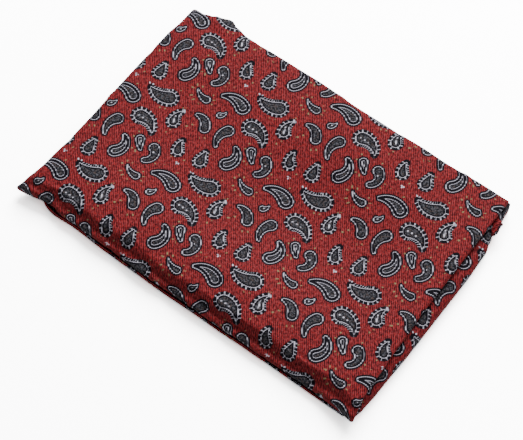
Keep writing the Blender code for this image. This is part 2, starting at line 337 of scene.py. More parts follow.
def makeMotifInk():
    # pale rim, inner ring and teeth, dark edging and fill, each a soft step of the distance to the outline;
    # a tooth's place is the share of its gap along the edge
    inputs = {"Distance": "Float", "Edge": "Float", "Ring": "Float", "Tooth": "Float", "Fill": "Float"}
    group, given, put = newGroup("motifInk", inputs, {"Dark": "Float", "Fill": "Float", "Pale": "Float"})
    calc = partial(sumNode, group)
    soft, distance = motifInk["soft"], given["Distance"]
    rim = softBelow(group, calc("ABSOLUTE", distance), soft, motifInk["rimHalf"])
    ringGap = calc("ABSOLUTE", calc("ADD", distance, given["Ring"]))
    ring = softBelow(group, ringGap, soft, motifInk["ringHalf"])
    phase = calc("FRACT", calc("DIVIDE", given["Edge"], motifInk["toothGap"]))
    beside = calc("MULTIPLY", calc("ABSOLUTE", calc("SUBTRACT", phase, 0.5)), 2.0)
    tooth = softBelow(group, beside, motifInk["toothSoft"], motifInk["toothShare"])
    reach = softBelow(group, calc("SUBTRACT", distance, given["Tooth"]), soft)
    outside = softBelow(group, calc("MULTIPLY", distance, -1.0), soft)
    teeth = calc("MULTIPLY", tooth, calc("MULTIPLY", reach, outside))
    pale = calc("MAXIMUM", calc("MAXIMUM", rim, ring), teeth)
    toothed = calc("MAXIMUM", given["Tooth"], 0.0)
    edging = calc("MULTIPLY_ADD", toothed, motifInk["haloTooth"], motifInk["haloReach"])
    dark = softBelow(group, calc("SUBTRACT", distance, edging), motifInk["haloSoft"])
    fill = softBelow(group, calc("ADD", distance, given["Fill"]), soft)
    return closeGroup(group, put, {"Dark": dark, "Fill": fill, "Pale": pale})


# Head, middle and tail of each motif's spine, its half width at the head and the tail, its taper, how far
# in a second pale line lies, how long its teeth are, and how far in the grey starts; 0 is none or as usual
motifs = {
    "beaded": ((0.82, 0.46), (0.912, 0.458), (1.004, 0.534), 0.061, 0.006, 1.3, 0, 0.031, 0),
    "plump": ((0.908, 0.156), (0.815, 0.19), (0.708, 0.172), 0.062, 0.006, 1.9, 0, 0.03, 0),
    "longRinged": ((0.636, 0.345), (0.53, 0.313), (0.417, 0.349), 0.064, 0.018, 1.6, 0.033, 0, 0.043),
    "kidney": ((0.256, 0.144), (0.308, 0.215), (0.268, 0.296), 0.044, 0.025, 1.0, 0, 0, 0),
    "ovalRinged": ((0.098, 0.148), (0.124, 0.184), (0.166, 0.229), 0.038, 0.013, 1.3, 0.025, 0, 0.2),
    "halfMoon": ((0.516, 0.528), (0.537, 0.508), (0.546, 0.474), 0.026, 0.004, 1.4, 0, 0, 0.014),
    "upright": ((0.216, 0.824), (0.2, 0.765), (0.217, 0.7), 0.045, 0.006, 1.1, 0, 0.027, 0),
    "longComma": ((0.49, 0.715), (0.424, 0.646), (0.346, 0.641), 0.043, 0.014, 2.2, 0, 0, 0),
    "standingComma": ((0.677, 0.612), (0.645, 0.705), (0.683, 0.8), 0.05, 0.012, 1.1, 0, 0, 0),
    "hookRinged": ((0.868, 0.888), (0.902, 0.796), (0.838, 0.708), 0.054, 0.017, 1.7, 0.031, 0, 0.043),
    "rayed": ((0.318, 0.471), (0.25, 0.466), (0.188, 0.428), 0.033, 0.003, 1.1, 0, 0, 0),
    "leaningBud": ((0.443, 1.04), (0.416, 0.993), (0.411, 0.928), 0.04, 0.005, 1.3, 0, 0.026, 0),
    "crossedBud": ((0.669, 1.008), (0.66, 0.96), (0.652, 0.9), 0.047, 0.005, 1.3, 0, 0.026, 0),
}

# Small flecks in clusters, each with its ink and its middle; a fleck is its place, half length, half width
# and turn in degrees
flecks = [
    ("Pale", (0.9, 0.46), [
        (0.803, 0.465, 0.008, 0.008, 0), (0.845, 0.464, 0.009, 0.008, 0), (0.886, 0.467, 0.008, 0.006, 10),
        (0.7, 0.138, 0.008, 0.008, 0), (0.67, 0.143, 0.012, 0.006, -30),
    ]),
    ("Pale", (0.3, 0.6), [
        (0.28, 0.184, 0.007, 0.007, 0), (0.214, 0.815, 0.026, 0.008, -68),
        (0.198, 0.775, 0.014, 0.004, -85), (0.516, 0.152, 0.012, 0.006, 90),
        (0.505, 0.14, 0.009, 0.005, 35), (0.53, 0.141, 0.009, 0.005, -35), (0.522, 0.518, 0.007, 0.005, 40),
    ]),
    ("Fleck", (0.22, 0.3), [
        (0.243, 0.062, 0.009, 0.007, 80), (0.04, 0.096, 0.01, 0.008, 0), (0.037, 0.16, 0.01, 0.008, 0),
        (0.102, 0.265, 0.009, 0.008, 0), (0.142, 0.271, 0.016, 0.006, -55),
        (0.376, 0.214, 0.01, 0.006, -40), (0.369, 0.265, 0.008, 0.007, 0),
        (0.155, 0.396, 0.015, 0.007, -50), (0.204, 0.386, 0.012, 0.007, -55),
        (0.138, 0.443, 0.014, 0.008, 0), (0.176, 0.513, 0.014, 0.008, 40), (0.216, 0.538, 0.014, 0.008, 55),
        (0.281, 0.545, 0.013, 0.006, -40), (0.377, 0.436, 0.013, 0.005, 35),
        (0.385, 0.482, 0.013, 0.005, -15), (0.34, 0.398, 0.007, 0.006, 0), (0.441, 0.222, 0.008, 0.003, 40),
        (0.584, 0.221, 0.013, 0.006, 40),
    ]),
    ("Fleck", (0.52, 0.85), [
        (0.377, 0.747, 0.012, 0.008, 0), (0.343, 0.791, 0.014, 0.009, 30),
        (0.516, 0.821, 0.013, 0.005, -45), (0.556, 0.794, 0.014, 0.006, -30),
        (0.22, 0.648, 0.007, 0.006, 90), (0.2, 0.664, 0.007, 0.005, 90), (0.249, 0.907, 0.008, 0.006, 0),
        (0.231, 0.951, 0.011, 0.007, -50), (0.55, 1.084, 0.01, 0.007, 70), (0.43, 1.122, 0.007, 0.006, 0),
        (0.642, 0.899, 0.022, 0.005, -55), (0.69, 0.905, 0.022, 0.005, 50), (0.94, 1.035, 0.008, 0.006, 0),
        (0.945, 0.769, 0.01, 0.008, 20), (0.9, 0.785, 0.014, 0.005, -30), (0.944, 1.268, 0.008, 0.006, 0),
        (0.896, 1.286, 0.014, 0.005, -30),
    ]),
]


def arcThrough(head, middle, tail):
    # the circle through three places: its centre, radius, the head's angle on it, and the span to the tail
    (ax, ay), (bx, by), (cx, cy) = [(x, -y) for x, y in (head, middle, tail)]
    twice = 2 * (ax * (by - cy) + bx * (cy - ay) + cx * (ay - by))
    squares = [p * p + q * q for p, q in ((ax, ay), (bx, by), (cx, cy))]
    x = (squares[0] * (by - cy) + squares[1] * (cy - ay) + squares[2] * (ay - by)) / twice
    y = (squares[0] * (cx - bx) + squares[1] * (ax - cx) + squares[2] * (bx - ax)) / twice
    start, end = np.arctan2(ay - y, ax - x), np.arctan2(cy - y, cx - x)
    span = (end - start + np.pi) % (2 * np.pi) - np.pi
    return x, y, np.hypot(ax - x, ay - y), start, span


def nearestCopy(tree, halfDrop, point, middle):
    # the point moved to the copy of the repeat round a middle on the chart, whose Y runs down
    return useGroup(tree, halfDrop, {"Point": point, "Middle": (middle[0], -middle[1], 0)})["Point"]


def addFlecks(tree, halfDrop, point, middle, rows):
    # the nearest fleck's distance, in shares of its half sizes, made a mask
    near = nearestCopy(tree, halfDrop, point, middle)
    closest = 9.0       # further than any
    for x, y, long, wide, turn in rows:
        local = localPoint(tree, near, x, -y, np.radians(turn), (long, wide, 1))
        closest = sumNode(tree, "MINIMUM", closest, vectorNode(tree, "LENGTH", local))
    return softBelow(tree, closest, motifInk["fleckSoft"], motifInk["fleckEdge"])


def makePaisleyPrint():
    # every motif's ink at a point of the cloth, the strongest of each kind
    strongest = {"Dark": 0.0, "Fill": 0.0, "Pale": 0.0, "Fleck": 0.0}
    group, given, put = newGroup("paisleyPrint", {"Point": "Vector"}, dict.fromkeys(strongest, "Float"))
    halfDrop, bentDrop, ink = makeHalfDrop(), makeBentDrop(), makeMotifInk()
    for head, middle, tail, half, tip, taper, ring, tooth, fill in motifs.values():
        x, y, radius, start, span = arcThrough(head, middle, tail)
        near = nearestCopy(group, halfDrop, given["Point"], middle)
        local = localPoint(group, near, x, y, start, (1, np.sign(span), 1))
        drop = useGroup(group, bentDrop, {"Point": local, "Radius": radius, "Span": abs(span), "Head": half,
                                          "Tail": tip, "Taper": taper})
        inks = useGroup(group, ink, {"Distance": drop["Distance"], "Edge": drop["Edge"],
                                     "Ring": ring or motifInk["noRing"],
                                     "Tooth": tooth or motifInk["noTooth"],
                                     "Fill": fill or motifInk["fillIn"]})
        for label in inks.keys():
            strongest[label] = sumNode(group, "MAXIMUM", strongest[label], inks[label])
    for label, middle, rows in flecks:
        mask = addFlecks(group, halfDrop, given["Point"], middle, rows)
        strongest[label] = sumNode(group, "MAXIMUM", strongest[label], mask)
    return closeGroup(group, put, strongest)


silk = {
    "ground": (0.430, 0.0290, 0.0300, 1),       # the red's two kinds of thread
    "groundDull": (0.400, 0.0600, 0.0660, 1),
    "groundShadeAndDeep": (0.040, 0.0040, 0.0060, 1),   # painted shade in the hollows between the ribs; the clouds and uneven threads mix in the same deeper red
    "dark": (0.006, 0.005, 0.009, 1),
    "fillDark": (0.012, 0.013, 0.017, 1),       # the grey's own dark and light threads
    "fill": (0.100, 0.100, 0.118, 1),
    "fillWarm": (0.080, 0.056, 0.050, 1),       # brownish patches in the grey
    "pale": (0.86, 0.83, 0.96, 1),
    "fleck": (0.27, 0.21, 0.11, 1),
    "inside": (0.16, 0.010, 0.012, 1),          # painted shade: the cloth deep between the folds, darkened, on the ribs and between them
    "insideDeep": (0.10, 0.006, 0.008, 1),
    "ribs": 62.0,                   # twill ribs in one repeat
    "ribAngle": np.radians(38),     # across the ribs, which lean to the left
    "ribStep": 0.0060,              # how far each rib shifts the print's edges, in repeats
    "ribDepth": 0.000035,
    "wander": (6.0, 0.9),           # noise scale, and by how many ribs it moves them
    "slubs": (170.0, 0.35),         # noise scale, and height beside a rib's
    "streaks": (64.0, 32.0),        # uneven threads, in one repeat across the ribs and along them
    "streakSpread": (0.35, 0.65),   # the noise's values that become 0 and 1
    "warmPatches": (34.0, 0.12, 0.47),      # noise scale, softness and level
    "dullThreads": (62.0, 0.1, 0.52),
    "clouds": (1.6, 0.16),                  # noise scale, and how much deeper the red gets
    "groundLight": (0.74, 1.08, -0.48),     # painted light and shade of the ribs: a rib's part, then a streak's part for uneven threads, and the rest
    "paleShadeAndStreaks": (0.30, 0.45, 0.40),     # the same for the pale lines, which dim in the rib hollows as painted shade
    "printedFinish": {"Roughness": 0.55, "Specular IOR Level": 0.03},
    "insideFinish": {"Roughness": 0.6},
}


def makeTwill():
    # ribs as a sine across the cloth, with a little wander; Rib is 0 in a hollow and 1 on a rib, and
    # Streak is a noise drawn out along the ribs
    outputs = {"Rib": "Float", "Streak": "Float", "Height": "Float"}
    group, given, put = newGroup("twillRibs", {"Point": "Vector", "Ribs": "Float"}, outputs)
    calc = partial(sumNode, group)
    point = given["Point"]
    across = (float(np.cos(silk["ribAngle"])), float(np.sin(silk["ribAngle"])), 0)
    place = vectorNode(group, "DOT_PRODUCT", point, across)
    placeAlong = vectorNode(group, "DOT_PRODUCT", point, (-across[1], across[0], 0))
    count = calc("MULTIPLY", place, given["Ribs"])
    wander = noiseNode(group, point, silk["wander"][0], 2.0)
    count = calc("MULTIPLY_ADD", wander, silk["wander"][1], count)
    wave = calc("SINE", calc("MULTIPLY", count, 2 * np.pi))
    rib = calc("MULTIPLY_ADD", wave, 0.5, 0.5)
    threadX = calc("MULTIPLY", place, silk["streaks"][0])
    threadY = calc("MULTIPLY", placeAlong, silk["streaks"][1])
    uneven = noiseNode(group, flatVector(group, threadX, threadY), 1.0, 3.0, 0.7)
    spread = {"Value": uneven, "From Min": silk["streakSpread"][0], "From Max": silk["streakSpread"][1]}
    streak = addNode(group, "ShaderNodeMapRange", {}, spread).outputs["Result"]
    slubs = noiseNode(group, point, silk["slubs"][0], 3.0)
    height = calc("MULTIPLY_ADD", slubs, silk["slubs"][1], rib)
    return closeGroup(group, put, {"Rib": rib, "Streak": streak, "Height": height})


def byThreads(tree, ribs, parts):
    # rib's part * Rib + streak's part * Streak + the rest
    value = sumNode(tree, "MULTIPLY_ADD", ribs["Rib"], parts[0], parts[2])
    return sumNode(tree, "MULTIPLY_ADD", ribs["Streak"], parts[1], value)


def makePrintedTwill(paisleyPrint, twillRibs):
    # the print's inks laid over the ribbed ground, ground first and pale lines last; the ribs' light and
    # shade are painted into the colour
    outputs = {"Colour": "Color", "Height": "Float"}
    group, given, put = newGroup("printedTwill", {"Point": "Vector"}, outputs)
    calc = partial(sumNode, group)
    point = given["Point"]
    ribs = useGroup(group, twillRibs, {"Point": point, "Ribs": silk["ribs"]})
    shift = calc("MULTIPLY_ADD", ribs["Rib"], silk["ribStep"], -silk["ribStep"] / 2)
    shifted = vectorNode(group, "ADD", point, flatVector(group, shift, shift))
    inks = useGroup(group, paisleyPrint, {"Point": shifted})
    scale, soft, level = silk["warmPatches"]
    patches = softBelow(group, noiseNode(group, point, scale, 3.0), soft, level)
    scale, soft, level = silk["dullThreads"]
    mottle = calc("SUBTRACT", level, noiseNode(group, point, scale, 2.0))
    threads = softBelow(group, mottle, soft)
    cloudy = calc("MULTIPLY", noiseNode(group, point, silk["clouds"][0], 2.0), silk["clouds"][1])
    ground = mixColour(group, threads, silk["groundDull"], silk["ground"])
    # painted shade: the ground goes darker in the hollows between the ribs, and with the uneven threads
    ground = mixColour(group, byThreads(group, ribs, silk["groundLight"]), silk["groundShadeAndDeep"], ground)
    ground = mixColour(group, cloudy, ground, silk["groundShadeAndDeep"])
    fill = mixColour(group, patches, silk["fill"], silk["fillWarm"])
    fill = mixColour(group, threads, silk["fillDark"], fill)
    colour = mixColour(group, inks["Fleck"], ground, silk["fleck"])
    colour = mixColour(group, inks["Dark"], colour, silk["dark"])
    colour = mixColour(group, inks["Fill"], colour, fill)
    # the pale lines dim in the rib hollows, as painted shade
    strength = calc("MULTIPLY", inks["Pale"], byThreads(group, ribs, silk["paleShadeAndStreaks"]))
    colour = mixColour(group, strength, colour, silk["pale"])
    return closeGroup(group, put, {"Colour": colour, "Height": ribs["Height"]})


def makeShadedInsideTwill(twillRibs):
    # the unprinted red of the cloth deep between the folds, darkened as painted shade and darker again in
    # the rib hollows
    outputs = {"Colour": "Color", "Height": "Float"}
    group, given, put = newGroup("insideTwill", {"Point": "Vector"}, outputs)
    ribs = useGroup(group, twillRibs, {"Point": given["Point"], "Ribs": silk["ribs"]})
    # the rib hollows go darker still, as painted shade
    colour = mixColour(group, ribs["Rib"], silk["insideDeep"], silk["inside"])
    return closeGroup(group, put, {"Colour": colour, "Height": ribs["Height"]})


def silkMaterial(name, twillGroup, finish):
    # the twill's colour and ribs on a piece's own UV map
    material = bpy.data.materials.new(name)
    material.use_nodes = True
    tree = material.node_tree
    shader = tree.nodes["Principled BSDF"].inputs
    point = addNode(tree, "ShaderNodeUVMap", {"uv_map": "clothPoint"}, {}).outputs["UV"]
    twill = useGroup(tree, twillGroup, {"Point": point})
    bump = addNode(tree, "ShaderNodeBump", {}, {"Height": twill["Height"], "Distance": silk["ribDepth"]})
    tree.links.new(twill["Colour"], shader["Base Color"])
    tree.links.new(bump.outputs[0], shader["Normal"])
    for socket, value in finish.items():
        shader[socket].default_value = value
    return material


twillRibs = makeTwill()
printedTwill = makePrintedTwill(makePaisleyPrint(), twillRibs)
printedSilk = silkMaterial("printedSilk", printedTwill, silk["printedFinish"])
# the hidden layers' cloth, its red darkened as painted shade
insideSilk = silkMaterial("insideSilk", makeShadedInsideTwill(twillRibs), silk["insideFinish"])
print("materials made")


# The top layer, with the fold that rolls over its edges

topLayer = {
    "left": [(-0.055, -0.0808), (-0.04, -0.0807), (-0.028, -0.0802), (-0.013, -0.0802), (0.002, -0.0806),
             (0.042, -0.0808), (0.052, -0.08)],
    "back": [(-0.08, 0.0529), (-0.0765, 0.0541), (-0.073, 0.0558), (-0.067, 0.0576), (-0.063, 0.0561),
             (-0.056, 0.0549), (-0.03, 0.0553), (-0.015, 0.0556), (0.005, 0.055), (0.021, 0.0551),
             (0.04, 0.0557), (0.05, 0.0555), (0.07, 0.0562)],
    "right": [(-0.055, 0.0812), (-0.04, 0.0808), (-0.022, 0.0799), (0.0, 0.0791), (0.056, 0.0787)],
    "front": [(-0.08, -0.0556), (-0.073, -0.0551), (-0.065, -0.0563), (-0.056, -0.0557), (-0.04, -0.0562),
              (-0.012, -0.0563), (0.018, -0.0557), (0.032, -0.0553), (0.046, -0.0549), (0.08, -0.0545)],
    "edgeFoldHalf": 0.00130,    # half the height of the sharp fold at the right
    "sideRoll": 0.0045,         # how far the fold stands out where it leaves the flat
    "frontRoll": 0.0017,
    "edgeRoll": 0.0016,
    # behind the front fold the layer slopes down to a low lip: how far it drops, along X, and where the
    # slope starts and ends behind the front
    "lipDrop": [(-0.08, 0.0016), (-0.072, 0.003), (-0.06, 0.0036), (-0.048, 0.0032), (-0.036, 0.0038),
                (-0.024, 0.0031), (-0.01, 0.0036), (0.003, 0.0034), (0.014, 0.0043), (0.028, 0.004),
                (0.04, 0.0047), (0.052, 0.0043), (0.064, 0.0048), (0.073, 0.0034), (0.08, 0.002)],
    "slopeStart": [(-0.08, 0.005), (-0.064, 0.0066), (-0.05, 0.0055), (-0.034, 0.0068), (-0.018, 0.0057),
                   (0.0, 0.0068), (0.018, 0.006), (0.035, 0.007), (0.052, 0.0062), (0.068, 0.0066),
                   (0.08, 0.0052)],
    "slopeEnd": 0.0020,
    "earReach": 0.015,          # the drawn-out front corners: how far back they start, and their pulls
    "earLeft": (-0.0035, -0.002, -0.0014),
    "earRight": (0.002, -0.0013, -0.001),
    "troughFromFront": 0.0034,  # where the sags behind the front fold lie, and their half width
    "troughHalf": 0.0013,
    # how high the crease under the fold lies, along the front, the back and the left
    "frontCrease": [(-0.08, 0.0036), (-0.07, 0.0042), (-0.059, 0.0036), (-0.045, 0.0042), (-0.033, 0.0034),
                    (-0.02, 0.004), (-0.008, 0.0033), (0.006, 0.0037), (0.019, 0.0027), (0.031, 0.0033),
                    (0.045, 0.0024), (0.057, 0.0026), (0.068, 0.002), (0.08, 0.003)],
    "backCrease": [(-0.08, 0.004), (-0.056, 0.0036), (-0.03, 0.0043), (-0.004, 0.0037), (0.024, 0.0042),
                   (0.052, 0.0036), (0.08, 0.0041)],
    "leftCrease": [(-0.055, 0.0035), (-0.033, 0.0042), (-0.008, 0.0036), (0.021, 0.0043), (0.052, 0.0039)],
    # how far the fold's front is pushed in, along X
    "frontPress": [(-0.08, 0.0), (-0.064, 0.0003), (-0.052, 0.0), (-0.036, 0.0004), (-0.023, 0.0001),
                   (-0.006, 0.0005), (0.01, 0.0001), (0.024, 0.0004), (0.038, 0.0), (0.053, 0.0004),
                   (0.07, 0.0001), (0.08, 0.0)],
    # the sags behind the front fold: middle along X, half length, depth, how much further back
    "troughs": [(-0.069, 0.006, 0.0003, 0.0008), (-0.053, 0.008, 0.0006, 0.0003),
                (-0.0365, 0.007, 0.0005, -0.0002), (-0.0225, 0.0075, 0.0007, 0.0005),
                (-0.0085, 0.006, 0.0008, -0.0004), (0.004, 0.006, 0.0003, 0.0008),
                (0.015, 0.007, 0.0006, -0.0002), (0.029, 0.0085, 0.0007, 0.0004),
                (0.045, 0.007, 0.0006, 0.0002), (0.057, 0.006, 0.0004, 0.0),
                (0.068, 0.0065, 0.0006, 0.0002)],
    # the layer lies lower in the middle than at its folded edges, and a puff stands up at the front left:
    # middle, half lengths and height of each
    "hollows": [
        ((0.018, 0.0), (0.064, 0.04), -0.004),
        ((-0.048, 0.002), (0.026, 0.036), -0.0014),
        ((-0.04, -0.04), (0.034, 0.024), 0.0011),
        ((0.088, 0.0), (0.03, 0.07), 0.0007),
        ((0.082, -0.05), (0.028, 0.03), 0.0008),
    ],
    # start, end, half width, height and bow, on the cloth laid flat, where the front fold ends at
    # about -0.062
    "creases": [
        ((-0.07, -0.062), (-0.058, -0.053), 0.001, -0.00035, 0.0004),
        ((-0.052, -0.0625), (-0.046, -0.054), 0.0012, 0.0003, -0.0003),
        ((-0.041, -0.062), (-0.026, -0.055), 0.0009, -0.00035, 0.0005),
        ((-0.016, -0.0625), (-0.011, -0.053), 0.0011, 0.0003, 0.0002),
        ((0.0, -0.062), (0.006, -0.054), 0.0007, -0.0004, 0.0003),
        ((0.003, -0.0625), (0.011, -0.0545), 0.0007, -0.00035, -0.0003),
        ((0.02, -0.062), (0.027, -0.055), 0.001, 0.0003, 0.0004),
        ((0.034, -0.0625), (0.046, -0.054), 0.0009, -0.0004, -0.0005),
        ((0.052, -0.062), (0.056, -0.055), 0.0011, 0.0003, 0.0002),
        ((0.06, -0.062), (0.072, -0.053), 0.0009, -0.00045, 0.0005),
        ((-0.086, 0.032), (-0.078, 0.018), 0.0012, -0.0003, 0.0005),
        ((-0.087, 0.004), (-0.077, -0.006), 0.0012, 0.0003, -0.0004),
        ((-0.086, -0.02), (-0.078, -0.034), 0.0011, -0.00035, 0.0004),
        ((-0.048, 0.053), (-0.034, 0.062), 0.0012, -0.00035, 0.0005),
        ((-0.012, 0.062), (0.002, 0.053), 0.0012, 0.0003, -0.0004),
        ((0.022, 0.053), (0.036, 0.062), 0.0011, -0.00035, 0.0004),
        ((0.052, 0.062), (0.062, 0.052), 0.0012, 0.0003, 0.0004),
        ((-0.076, -0.0485), (-0.052, -0.05), 0.0009, -0.00035, 0.0008),
        ((-0.06, -0.0525), (-0.03, -0.0535), 0.0007, 0.00035, -0.0004),
        ((-0.036, -0.05), (-0.016, -0.0515), 0.0008, -0.0004, 0.0005),
        ((-0.024, -0.0535), (0.008, -0.053), 0.0007, 0.0003, 0.0003),
        ((0.002, -0.0495), (0.024, -0.0508), 0.0008, -0.00035, -0.0004),
        ((0.018, -0.0525), (0.046, -0.052), 0.0007, 0.00035, 0.0003),
        ((0.038, -0.049), (0.062, -0.048), 0.0009, -0.0004, 0.0006),
        ((0.06, -0.0515), (0.078, -0.0455), 0.0011, -0.00045, 0.0008),
        ((-0.079, -0.052), (-0.067, -0.04), 0.0012, -0.0003, -0.0006),
        ((-0.078, 0.05), (-0.06, 0.044), 0.0016, -0.0004, 0.001),
        ((-0.07, 0.054), (-0.058, 0.049), 0.0012, 0.00035, -0.0008),
        ((0.066, 0.03), (0.074, -0.03), 0.003, -0.00018, 0.001),
    ],
    # broad shallow swells and hollows of the whole layer, in the same way
    "swells": [
        ((-0.06, 0.03), (0.05, -0.02), 0.014, -0.00022, 0.006),
        ((-0.07, -0.02), (0.02, 0.04), 0.016, 0.00016, -0.005),
        ((0.0, 0.045), (0.075, 0.01), 0.013, -0.0002, 0.004),
        ((-0.03, -0.04), (0.06, -0.035), 0.009, 0.00018, 0.002),
    ],
    "flatColumns": 216,
    "flatRows": 150,
    "rowCloseness": 1.45,       # over 1, the rows lie closer together at the front
    "rollSteps": 16,
}


def rollLength(roll, out, half):
    # the cloth's length round a fold, as the sum of the chords of its section up to the roll
    turns = np.linspace(0, cloth["foldTurn"], cloth["chords"] + 1)
    outward, drop = np.diff(np.sin(turns) ** cloth["foldSoftness"]), np.diff(1 - np.cos(turns))
    length = np.zeros_like(roll)
    for k in range(cloth["chords"]):
        passed = np.clip(np.abs(roll) * cloth["chords"] - k, 0, 1)
        length = length + passed * np.hypot(out * outward[k], half * drop[k])
    return np.sign(roll) * length


def foldHalf(height):
    # half the height of a fold that drops by the given height over its whole turn
    return height / (1 - np.cos(cloth["foldTurn"]))


def makeTopLayer(layer):
    # columns run from the left edge line to the right one and rows from front to back, each with a roll
    # beyond its ends that drops to the crease; the top is level but for the slope down to its front lip,
    # its troughs and its hollows, and the creases then push it in or out. The slope's own length along the
    # cloth is added to the place on the flat cloth. Each ear draws the points near a front corner out by
    # its pull * (1 - distance / earReach)^2.
    flatX, rollX = foldStations(layer["flatColumns"], layer["rollSteps"])
    flatY, rollY = foldStations(layer["flatRows"], layer["rollSteps"], layer["rowCloseness"])
    flatX, flatY = np.meshgrid(flatX, flatY)
    rollX, rollY = np.meshgrid(rollX, rollY)
    plainX = layer["left"][0][1] + (layer["right"][0][1] - layer["left"][0][1]) * flatX
    plainY = layer["front"][0][1] + (layer["back"][-1][1] - layer["front"][0][1]) * flatY
    front = softSteps(plainX, layer["front"])
    outX = np.where(rollX > 0, layer["edgeRoll"], layer["sideRoll"])
    outY = np.where(rollY < 0, layer["frontRoll"], layer["sideRoll"])
    startX = softSteps(plainY, layer["left"]) + layer["sideRoll"]
    endX = softSteps(plainY, layer["right"]) - layer["edgeRoll"]
    startY = front + layer["frontRoll"] + softSteps(plainX, layer["frontPress"])
    endY = softSteps(plainX, layer["back"]) - layer["sideRoll"]
    x = startX + (endX - startX) * flatX
    y = startY + (endY - startY) * flatY
    slopeStart = softSteps(plainX, layer["slopeStart"])
    share = np.clip((slopeStart - (y - front)) / (slopeStart - layer["slopeEnd"]), 0, 1)
    slope = -softSteps(plainX, layer["lipDrop"]) * share**2 * (3 - 2 * share)
    stepDown, stepBack = np.diff(slope, axis=0), np.diff(y, axis=0)
    longer = np.vstack([np.hypot(stepDown, stepBack) - stepBack, np.zeros((1, x.shape[1]))])
    longer = np.cumsum(longer[::-1], axis=0)[::-1]
    z = cloth["height"] + slope
    for middle, long, depth, back in layer["troughs"]:
        line = front + layer["troughFromFront"] + back
        z = z - depth * hump(x - middle, long) * hump(y - line, layer["troughHalf"])
    z = z + swellField(x, y, layer["hollows"])
    crease = softSteps(plainX, layer["frontCrease"])
    crease = np.where(rollY < 0, crease, softSteps(plainX, layer["backCrease"]))
    halfX = foldHalf(z - softSteps(plainY, layer["leftCrease"]))
    halfX = np.where(rollX > 0, layer["edgeFoldHalf"], halfX)
    halfY = foldHalf(z - crease)
    clothX, clothY = x + rollLength(rollX, outX, halfX), y - longer + rollLength(rollY, outY, halfY)
    stepX, stepY, drop = foldOver(rollX, rollY, outX, outY, halfX, halfY)
    relief = creaseField(clothX, clothY, layer["creases"]) + creaseField(clothX, clothY, layer["swells"])
    x, y, z = pushOut(x + stepX, y + stepY, z - drop, relief)
    for side, ear in (("left", "earLeft"), ("right", "earRight")):
        cornerX, pull = layer[side][0][1], layer[ear]
        weight = np.clip(1 - np.hypot(x - cornerX, y - front) / layer["earReach"], 0, 1) ** 2
        x, y, z = x + weight * pull[0], y + weight * pull[1], z + weight * pull[2]
        clothX, clothY = clothX + weight * pull[0], clothY + weight * pull[1]
    return addShell(addSurface("topLayer", (x, y, z), (clothX, clothY), printedSilk))


top = makeTopLayer(topLayer)
print("top layer made")


# The lower fold, which shows below the crease and lies flat underneath

lowerFold = {
    "left": -0.0797,
    "back": 0.0542,
    "right": 0.0780,
    "proud": 0.0005,        # how far it stands out past the upper fold at the front
    "underCrease": 0.0001,  # how far its top lies below the crease
    "frontRoll": 0.0022,
    "sideRoll": 0.0030,
    "cornerLong": 0.011,    # at the left its front draws in by cornerIn * share^cornerCurve
    "cornerIn": 0.0050,
    "cornerCurve": 1.5,
    "printShift": (0.31, 0.13),
    "flatColumns": 200,
    "flatRows": 40,
    "rollSteps": 14,
}


def makeLowerFold(fold, upper):
    # as the top layer, but rolling upwards from the table to the crease; the right end has no roll
    flatX, rollX = foldStations(fold["flatColumns"], fold["rollSteps"])
    flatY, rollY = foldStations(fold["flatRows"], fold["rollSteps"])
    flatX, flatY = np.meshgrid(flatX[:-fold["rollSteps"]], flatY)
    rollX, rollY = np.meshgrid(rollX[:-fold["rollSteps"]], rollY)
    x = fold["left"] + fold["sideRoll"] + (fold["right"] - fold["left"] - fold["sideRoll"]) * flatX
    corner = np.clip((fold["left"] + fold["cornerLong"] - x) / fold["cornerLong"], 0, 1)
    front = softSteps(x, upper["front"]) - fold["proud"] + fold["cornerIn"] * corner ** fold["cornerCurve"]
    y = front + fold["frontRoll"] + (fold["back"] - fold["sideRoll"] - front - fold["frontRoll"]) * flatY
    outY = np.where(rollY < 0, fold["frontRoll"], fold["sideRoll"])
    crease = softSteps(x, upper["frontCrease"])
    crease = np.where(rollY < 0, crease, softSteps(x, upper["backCrease"]))
    halfX = foldHalf(softSteps(y, upper["leftCrease"]) - fold["underCrease"])
    halfY = foldHalf(crease - fold["underCrease"])
    clothX, clothY = x + rollLength(rollX, fold["sideRoll"], halfX), y + rollLength(rollY, outY, halfY)
    stepX, stepY, rise = foldOver(rollX, rollY, fold["sideRoll"], outY, halfX, halfY)
    points = x + stepX, y + stepY, rise
    flat = -clothX, clothY      # seen from below, the print runs the other way
    return addShell(addSurface("lowerFold", points, flat, printedSilk, fold["printShift"], turned=True))


lower = makeLowerFold(lowerFold, topLayer)
print("lower fold made")


# The second fold at the right-hand end

rightFold = {
    # along Y, furthest X, top
    "sections": [(-0.0525, 0.082, 0.0052), (-0.049, 0.0828, 0.0062), (-0.04, 0.0833, 0.0069),
                 (-0.018, 0.0838, 0.0071), (0.019, 0.0838, 0.0071), (0.033, 0.0832, 0.007),
                 (0.0385, 0.0818, 0.0066), (0.042, 0.0808, 0.0064), (0.048, 0.0804, 0.007),
                 (0.0556, 0.0795, 0.0076)],
    "inner": 0.0786,        # where the two plies start
    "ply": 0.0006,          # how far they run straight before they round the fold
    "tuck": 0.0016,         # how far the top ply runs in under the top layer
    "roundness": 0.8,
    "printShift": (0.12, 0.55),
    "alongSteps": 260,
    "roundSteps": 34,
}


